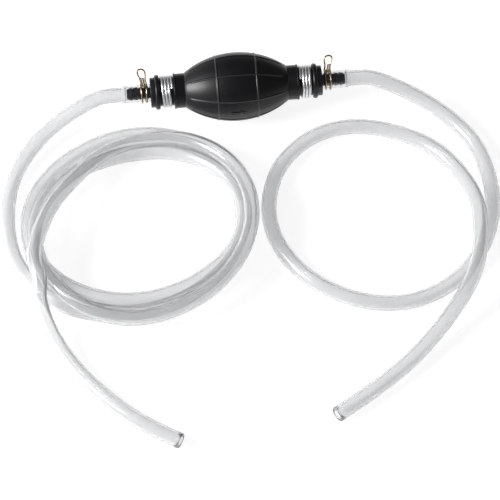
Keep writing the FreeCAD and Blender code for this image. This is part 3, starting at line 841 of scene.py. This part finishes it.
def make_bulb():
    outline = [(along, belly(along)) for along in rows]
    neck = rounded_outline([(BELLY_HALF, COLLAR_RADIUS)] + BULB_NECK, NECK_ROUNDING)
    right = [tuple(point) for point in neck]
    right = [point for point in right if point[0] > BELLY_HALF or point[1] < COLLAR_RADIUS - 0.01]
    inner = [(along, belly(along, BULB_WALL)) for along in range(36, -37, -6)]
    left = [(-along, radius) for along, radius in reversed(right)]
    outline += right + inner + left
    mesh = turned_mesh("bulb_skin", outline, columns, on_axis(1), bulb_rise)
    # Per-point share of the paler rib tops, partly wear and partly painted highlight.
    rib_wear_and_sheen = mesh.attributes.new("rib_wear_and_sheen", "FLOAT", "POINT")
    values = [
        rib_share(along, radius, angle) ** 3 if index < len(rows) else 0.0
        for index, (along, radius) in enumerate(outline)
        for angle in columns
    ]
    rib_wear_and_sheen.data.foreach_set("value", values)
    mesh.materials.append(make_bulb_rubber())
    bulb = add_piece("bulb_skin", mesh)
    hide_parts("bulb")


make_bulb()

# %% [markdown]
# ## End fittings
# Each fitting is one plastic moulding: a spigot inside the bulb's neck, a flange against its bead and
# a barb inside the hose. A tooth of the barb is steep towards the flange and slopes away from it, so
# the hose goes on easily and does not come off.

# %% Make the end fittings
SPIGOT_START = 41.3
CHAMBER_RADIUS = 6.2
CHAMBER_END = 55.1
PLENUM_END = 59.1
PLENUM_RADIUS = 5.0
FLANGE_RADIUS = 11.0
BARB_ROOT_RADIUS = 4.1
BARB_TIP_RADIUS = 3.75
BARB_BORE_RADIUS = 2.75
TOOTH_COUNT = 4
ROUND_STEPS = 72
FITTING_ROUNDING = 0.3


def make_fitting_plastic():
    plastic = new_finish("fitting_plastic", (0.010, 0.010, 0.015), 0.3)
    vary(plastic, speckle(plastic, 60, 3), "Roughness", 0.22, 0.4)
    relief(plastic, speckle(plastic, 900, 2), 0.015)
    return plastic


fitting_plastic = make_fitting_plastic()
round_angles = [2 * math.pi * i / ROUND_STEPS for i in range(ROUND_STEPS)]
for end, side in ENDS:
    corners = [
        (SPIGOT_START, CHAMBER_RADIUS),
        (SPIGOT_START, SPIGOT_RADIUS),
        (BEAD_END, SPIGOT_RADIUS),
        (BEAD_END, FLANGE_RADIUS),
        (FLANGE_END, FLANGE_RADIUS),
        (FLANGE_END, BARB_ROOT_RADIUS),
    ]
    for tooth in range(TOOTH_COUNT):
        place = FLANGE_END + FIRST_TOOTH + TOOTH_PITCH * tooth
        corners += [(place, BARB_ROOT_RADIUS), (place, BARB_CREST_RADIUS)]
    corners += [
        (BARB_END, BARB_TIP_RADIUS),
        (BARB_END, BARB_BORE_RADIUS),
        (PLENUM_END, BARB_BORE_RADIUS),
        (CHAMBER_END, PLENUM_RADIUS),
        (CHAMBER_END, CHAMBER_RADIUS),
    ]
    outline = rounded_outline(corners, FITTING_ROUNDING)
    fitting_mesh = turned_mesh(f"{end}_fitting_body", outline, round_angles, on_axis(side))
    fitting_mesh.materials.append(fitting_plastic)
    fitting = add_piece(f"{end}_fitting_body", fitting_mesh)
    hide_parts(f"{end}_fitting")

# %% [markdown]
# ## Wire, wound and bent
# The neck clamps and the valve springs are wire wound at an even pitch, and the hose clips are wire
# bent round the hose. Geometry Nodes suit both: one tree winds a spiral from a few named sizes, and
# both trees end in the same round skin. The skin also records how far along the wire each point is,
# which lets the finish change along the wire.

# %% Geometry Nodes for wire
WIRE_SIDES = 16
STEPS_PER_TURN = 72


def tree_with(name, inputs, has_curve=False):
    """A new node tree with named inputs: {name: (socket type, default)}."""
    tree = bpy.data.node_groups.new(name, "GeometryNodeTree")
    if has_curve:
        tree.interface.new_socket(name="Geometry", in_out="INPUT", socket_type="NodeSocketGeometry")
    for label, (kind, default) in inputs.items():
        socket = tree.interface.new_socket(name=label, in_out="INPUT", socket_type=kind)
        if default is not None:
            socket.default_value = default
    tree.interface.new_socket(name="Geometry", in_out="OUTPUT", socket_type="NodeSocketGeometry")
    given = tree.nodes.new("NodeGroupInput")
    return tree, given


def skin_the_wire(tree, given, curve):
    """Round skin along a curve, with closed ends, then its finish."""
    link = tree.links.new
    parameter = tree.nodes.new("GeometryNodeSplineParameter")
    store = tree.nodes.new("GeometryNodeStoreNamedAttribute")
    store.data_type = "FLOAT"
    store.domain = "POINT"
    store.inputs["Name"].default_value = "along_wire"
    link(curve, store.inputs["Geometry"])
    link(parameter.outputs["Length"], store.inputs["Value"])
    circle = tree.nodes.new("GeometryNodeCurvePrimitiveCircle")
    circle.inputs["Resolution"].default_value = WIRE_SIDES
    link(given.outputs["Wire radius"], circle.inputs["Radius"])
    skin = tree.nodes.new("GeometryNodeCurveToMesh")
    skin.inputs["Fill Caps"].default_value = True
    link(store.outputs["Geometry"], skin.inputs["Curve"])
    link(circle.outputs["Curve"], skin.inputs["Profile Curve"])
    realize = tree.nodes.new("GeometryNodeRealizeInstances")
    link(skin.outputs["Mesh"], realize.inputs["Geometry"])
    finish = tree.nodes.new("GeometryNodeSetMaterial")
    link(realize.outputs["Geometry"], finish.inputs["Geometry"])
    link(given.outputs["Finish"], finish.inputs["Material"])
    result = tree.nodes.new("NodeGroupOutput")
    link(finish.outputs["Geometry"], result.inputs["Geometry"])


def make_winding_tree():
    """Wire wound round the Z axis from Z = 0 upwards."""
    tree, given = tree_with(
        "wound_wire",
        {
            "Turns": ("NodeSocketFloat", 3.5),
            "Pitch": ("NodeSocketFloat", 0.0023),
            "Winding radius": ("NodeSocketFloat", 0.011),
            "Wire radius": ("NodeSocketFloat", 0.001),
            "Other hand": ("NodeSocketBool", False),
            "Finish": ("NodeSocketMaterial", None),
        },
    )
    spiral = tree.nodes.new("GeometryNodeCurveSpiral")
    spiral.inputs["Resolution"].default_value = STEPS_PER_TURN
    height = tree.nodes.new("ShaderNodeMath")
    height.operation = "MULTIPLY"
    tree.links.new(given.outputs["Turns"], height.inputs[0])
    tree.links.new(given.outputs["Pitch"], height.inputs[1])
    tree.links.new(given.outputs["Turns"], spiral.inputs["Rotations"])
    tree.links.new(given.outputs["Winding radius"], spiral.inputs["Start Radius"])
    tree.links.new(given.outputs["Winding radius"], spiral.inputs["End Radius"])
    tree.links.new(height.outputs["Value"], spiral.inputs["Height"])
    tree.links.new(given.outputs["Other hand"], spiral.inputs["Reverse"])
    skin_the_wire(tree, given, spiral.outputs["Curve"])
    return tree


def make_bent_wire_tree():
    """A round skin along the object's own curve."""
    tree, given = tree_with(
        "bent_wire",
        {"Wire radius": ("NodeSocketFloat", 0.0006), "Finish": ("NodeSocketMaterial", None)},
        has_curve=True,
    )
    skin_the_wire(tree, given, given.outputs["Geometry"])
    return tree


def grown_mesh(name, data, tree, settings):
    """Run a node tree on an object and return the result as a plain mesh."""
    holder = bpy.data.objects.new(name, data)
    bpy.context.scene.collection.objects.link(holder)
    modifier = holder.modifiers.new("grow", "NODES")
    modifier.node_group = tree
    for item in tree.interface.items_tree:
        if item.item_type == "SOCKET" and item.in_out == "INPUT" and item.name in settings:
            modifier[item.identifier] = settings[item.name]
    graph = bpy.context.evaluated_depsgraph_get()
    mesh = bpy.data.meshes.new_from_object(holder.evaluated_get(graph))
    mesh.name = name
    holder.modifiers.remove(modifier)
    bpy.data.objects.remove(holder)
    outward_faces(mesh)
    return mesh


winding_tree = make_winding_tree()
bent_wire_tree = make_bent_wire_tree()
print("trees:", winding_tree.name, bent_wire_tree.name)

# %% [markdown]
# ## Neck clamps
# Each neck is squeezed on to its spigot by close-wound, bright zinc-plated wire. The two clamps are
# wound opposite ways, and the free end next to the belly shows at the front. Zinc plate is bright but
# not a mirror: its roughness changes along the wire, and its tone drifts from place to place.

# %% Make the neck clamps
CLAMP_WIRE_RADIUS = 1.05
CLAMP_PITCH = 2.3
CLAMP_TURNS = 3.5
CLAMP_SIDE_GAP = 0.125
CLAMP_FIRST = CLAMP_SEAT_START + CLAMP_SIDE_GAP + CLAMP_WIRE_RADIUS
CLAMP_WINDING_RADIUS = CLAMP_SEAT_RADIUS + CLAMP_WIRE_RADIUS
CLAMP_END_ANGLE = math.radians(62.0)


def make_wire_finish(name, color, other, rough_low, rough_high):
    """Plated wire that drifts between two colours and two roughnesses."""
    wire = new_finish(name, color, rough_low, 1.0)
    vary(wire, speckle(wire, 260, 3), "Base Color", color, other)
    along = add_node(wire, "ShaderNodeAttribute")
    along.attribute_name = "along_wire"
    marks = add_node(wire, "ShaderNodeTexNoise", Vector=along.outputs["Vector"], Scale=500.0, Detail=3.0)
    vary(wire, marks.outputs["Fac"], "Roughness", rough_low, rough_high)
    relief(wire, speckle(wire, 1400, 2), 0.002)
    return wire


def stand_on_axis(mesh, side, along, start_angle):
    """Lay a piece wound round Z along the pump's axis, with its first end at start_angle."""
    first = Matrix.Rotation(math.pi / 2, 4, "Y")
    turn = Matrix.Rotation(start_angle, 4, "X")
    flip = Matrix.Rotation(0 if side > 0 else math.pi, 4, "Z")
    move = Matrix.Translation(Vector((side * along, 0, AXIS_HEIGHT)) * MM)
    mesh.transform(move @ turn @ flip @ first)


bright_zinc = make_wire_finish("bright_zinc", (0.8, 0.81, 0.82), (0.74, 0.75, 0.77), 0.26, 0.36)
for end, side in ENDS:
    clamp_mesh = grown_mesh(
        f"{end}_neck_clamp",
        bpy.data.meshes.new("wire"),
        winding_tree,
        {
            "Turns": CLAMP_TURNS,
            "Pitch": CLAMP_PITCH * MM,
            "Winding radius": CLAMP_WINDING_RADIUS * MM,
            "Wire radius": CLAMP_WIRE_RADIUS * MM,
            "Other hand": side < 0,
            "Finish": bright_zinc,
        },
    )
    stand_on_axis(clamp_mesh, side, CLAMP_FIRST, -math.pi / 2 - CLAMP_END_ANGLE)
    clamp = add_piece(f"{end}_neck_clamp", clamp_mesh)
    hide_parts(f"{end}_wire_clamp")

# %% [markdown]
# ## Valve springs
# A light spring in each valve holds its poppet shut. It is the same winding tree with other sizes.
# When the poppet lifts, the spring shortens against the floor of its cage.

# %% Make the valve springs
SPRING_WIRE_RADIUS = 0.25
SPRING_RADIUS = 3.1
SPRING_TURNS = 4.5

spring_wire = make_wire_finish("spring_wire", (0.62, 0.61, 0.59), (0.52, 0.51, 0.5), 0.2, 0.4)
for end, side in ENDS:
    low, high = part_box(f"{end}_valve_spring")
    spring_length = (high.x - low.x) / MM
    spring_mesh = grown_mesh(
        f"{end}_spring",
        bpy.data.meshes.new("wire"),
        winding_tree,
        {
            "Turns": SPRING_TURNS,
            "Pitch": (spring_length - 2 * SPRING_WIRE_RADIUS) / SPRING_TURNS * MM,
            "Winding radius": SPRING_RADIUS * MM,
            "Wire radius": SPRING_WIRE_RADIUS * MM,
            "Finish": spring_wire,
        },
    )
    stand_on_axis(spring_mesh, 1, low.x / MM + SPRING_WIRE_RADIUS, 0.0)
    spring = add_piece(f"{end}_spring", spring_mesh)
    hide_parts(f"{end}_valve_spring")
    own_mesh(spring)

# %% [markdown]
# ## Hose clips
# A double-wire clip grips each hose end. One wire makes it all: a free end, more than once round the
# hose, up into a teardrop bow for the finger, and the mirror image of that back down. Its centre line
# is a NURBS curve whose corners stand just outside the winding, so the curve touches it between them.

# %% Make the hose clips
CLIP_WIRE_RADIUS = 0.6
CLIP_PLAY = 0.12
CLIP_RING = HOSE_RADIUS + SWELL + CLIP_PLAY + CLIP_WIRE_RADIUS
CLIP_OFF_FLANGE = 4.6
CLIP_PLACE = FLANGE_END + CLIP_OFF_FLANGE
CLIP_INNER_LANE = 0.75
CLIP_OUTER_LANE = 2.15
BOW_ANGLE = 135.0
FREE_END_ANGLE = 101.0
BOW_HEIGHT = 10.2
BOW_HALF_WIDTH = 2.7
BOW_LEAN = 1.6
WINDING_STEP = 15
FREE_END_SHARES = (0.75, 0.3, 0.0)
BOW_OUTLINE = (
    (CLIP_OUTER_LANE, 0.0),
    (CLIP_OUTER_LANE * 0.75, 0.3),
    (BOW_HALF_WIDTH, 0.65),
    (BOW_HALF_WIDTH, 0.95),
    (BOW_HALF_WIDTH * 0.3, 1.04),
)
CLIP_FINE_STEPS = 8


def clip_side():
    """Corners (lane, angle, distance out) from a free end round to the top of the bow."""
    covered = 360 + BOW_ANGLE - FREE_END_ANGLE
    steps = round(covered / WINDING_STEP)
    corner_reach = CLIP_RING / cos_deg(covered / steps / 2)
    corners = [
        (CLIP_INNER_LANE, FREE_END_ANGLE, CLIP_RING + share * BOW_HEIGHT)
        for share in FREE_END_SHARES
    ]
    for index in range(steps):
        share = (index + 0.5) / steps
        lane = CLIP_INNER_LANE + (CLIP_OUTER_LANE - CLIP_INNER_LANE) * share
        corners.append((lane, FREE_END_ANGLE + covered * share, corner_reach))
    bow = [(lane, BOW_ANGLE, CLIP_RING + share * BOW_HEIGHT) for lane, share in BOW_OUTLINE]
    return corners + bow


def clip_curve(name, side):
    """Centre line of a clip's wire, from one free end over the bow to the other."""
    half = clip_side()
    corners = half + [(-lane, angle, reach) for lane, angle, reach in reversed(half)]
    curve = bpy.data.curves.new(name, "CURVE")
    curve.dimensions = "3D"
    curve.resolution_u = CLIP_FINE_STEPS
    spline = curve.splines.new("NURBS")
    spline.points.add(len(corners) - 1)
    for point, (lane, angle, reach) in zip(spline.points, corners):
        raised = max(reach - CLIP_RING - CLIP_WIRE_RADIUS, 0) / BOW_HEIGHT
        along = side * (CLIP_PLACE + lane + raised * BOW_LEAN)
        back = -reach * cos_deg(angle)
        up = AXIS_HEIGHT + reach * cos_deg(angle - 90)
        point.co = (along * MM, back * MM, up * MM, 1)
    spline.order_u = 3
    spline.use_endpoint_u = True
    return curve


yellow_zinc = make_wire_finish("yellow_zinc", (0.52, 0.43, 0.28), (0.38, 0.27, 0.18), 0.16, 0.32)
for end, side in ENDS:
    clip_mesh = grown_mesh(
        f"{end}_clip_wire",
        clip_curve(f"{end}_clip_line", side),
        bent_wire_tree,
        {"Wire radius": CLIP_WIRE_RADIUS * MM, "Finish": yellow_zinc},
    )
    clip = add_piece(f"{end}_clip_wire", clip_mesh, f"{end}_clip")
    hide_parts(f"{end}_hose_clip")

# %% [markdown]
# ## Valve parts
# The seats, poppets, cages and washers are shaped in the frame already and stay as they are. They get
# their finishes here: natural moulded plastic with a slight unevenness, and matt black rubber sheet.

# %% Finish the valve parts


def make_valve_plastic():
    plastic = new_finish("valve_plastic", (0.8, 0.79, 0.74), 0.42)
    vary(plastic, speckle(plastic, 180, 3), "Base Color", (0.82, 0.81, 0.77), (0.74, 0.73, 0.67))
    vary(plastic, speckle(plastic, 400, 2), "Roughness", 0.34, 0.52)
    relief(plastic, speckle(plastic, 1500, 2), 0.01)
    return plastic


def make_seal_rubber():
    rubber = new_finish("seal_rubber", (0.03, 0.03, 0.03), 0.7)
    vary(rubber, speckle(rubber, 700, 3), "Roughness", 0.6, 0.85)
    relief(rubber, speckle(rubber, 2200, 2), 0.015)
    return rubber


valve_plastic = make_valve_plastic()
seal_rubber = make_seal_rubber()
valve_finishes = {
    "valve_seat": valve_plastic,
    "poppet": valve_plastic,
    "valve_cage": valve_plastic,
    "poppet_seal": seal_rubber,
}
for end, _ in ENDS:
    for piece, finish in valve_finishes.items():
        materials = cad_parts[f"{end}_{piece}"].data.materials
        materials.clear()
        materials.append(finish)
print("valve parts finished")

# %% [markdown]
# ## Compare the sizes and finish
# The finished pump should fill the box of its measured frame and no more. Both boxes are printed
# for that comparison.

# %% Compare and finish
visual_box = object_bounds()
boxes = {
    "cad": [[float(v) for v in corner] for corner in cad_box],
    "visual": [[float(v) for v in corner] for corner in visual_box],
}
print("frame box", boxes["cad"], "finished box", boxes["visual"])
